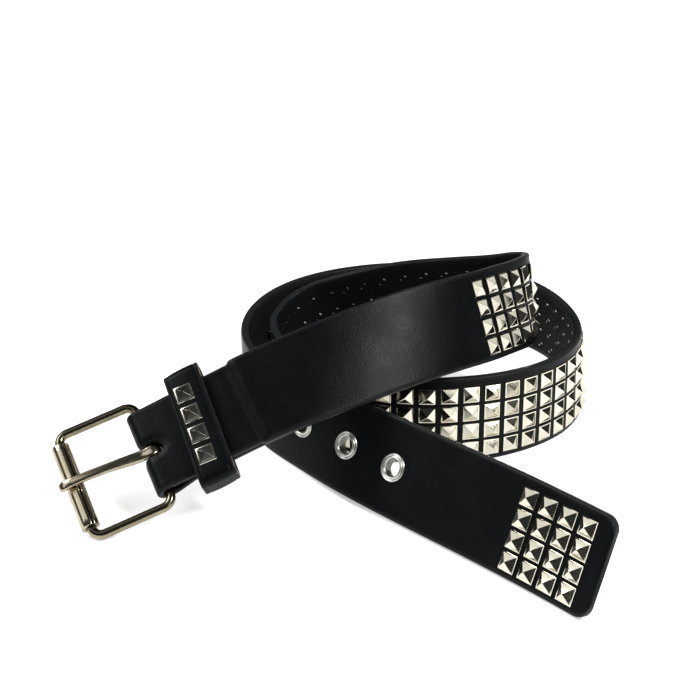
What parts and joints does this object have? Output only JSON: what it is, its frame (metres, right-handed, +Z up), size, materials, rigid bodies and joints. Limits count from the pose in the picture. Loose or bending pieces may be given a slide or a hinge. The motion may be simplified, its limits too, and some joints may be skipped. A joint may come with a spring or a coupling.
{
  "type": "studded belt",
  "caption": "Black leather belt with rows of pyramid studs, metal eyelets, a loop keeper and a single-prong roller buckle, lying coiled on its edge",
  "frame": {"origin": "on the table, under the middle of the belt's bounding box", "axes": "+Z up, the camera of the picture looks along +Y, +X to its right"},
  "size_m": [0.2252, 0.263, 0.0754],
  "materials": {
    "leather": "black finished leather, fine grain, soft sheen, paler worn edges",
    "nickel": "pale nickel plate, slightly satin",
    "gunmetal": "dark gunmetal plate, worn brighter on the edges",
    "antique_metal": "antique nickel-brass plate, polished high spots, dark in the corners"
  },
  "bodies": {
    "belt": {"strap": "leather", "eyelet_1": "nickel", "eyelet_2": "nickel", "eyelet_3": "nickel", "eyelet_4": "nickel", "eyelet_5": "nickel", "tip_stud_1": "nickel", "tip_stud_2": "nickel", "tip_stud_3": "nickel", "tip_stud_4": "nickel", "tip_stud_5": "nickel", "tip_stud_6": "nickel", "tip_stud_7": "nickel", "tip_stud_8": "nickel", "tip_stud_9": "nickel", "tip_stud_10": "nickel", "tip_stud_11": "nickel", "tip_stud_12": "nickel", "tip_stud_13": "nickel", "tip_stud_14": "nickel", "tip_stud_15": "nickel", "tip_stud_16": "nickel", "keeper": "leather", "keeper_stud_1": "gunmetal", "keeper_stud_2": "gunmetal", "keeper_stud_3": "gunmetal", "keeper_stud_4": "gunmetal"},
    "buckle": {"buckle_frame": "antique_metal"},
    "roller_tube": {"roller": "antique_metal"},
    "prong_pin": {"prong": "antique_metal"}
  },
  "joints": [
    {"name": "buckle_swing", "type": "hinge", "parent": "belt", "child": "buckle", "pos_m": [-0.07245, -0.05181, 0.02348], "axis": [-0.4106, 0.738, 0.5354], "range_deg": [-60, 25]},
    {"name": "prong_lift", "type": "hinge", "parent": "buckle", "child": "prong_pin", "pos_m": [-0.07245, -0.05181, 0.02348], "axis": [-0.4106, 0.738, 0.5354], "range_deg": [0, 70]},
    {"name": "roller_spin", "type": "hinge", "parent": "buckle", "child": "roller_tube", "pos_m": [-0.10172, -0.06099, 0.01368], "axis": [0.4106, -0.738, -0.5354], "continuous": true}
  ]
}
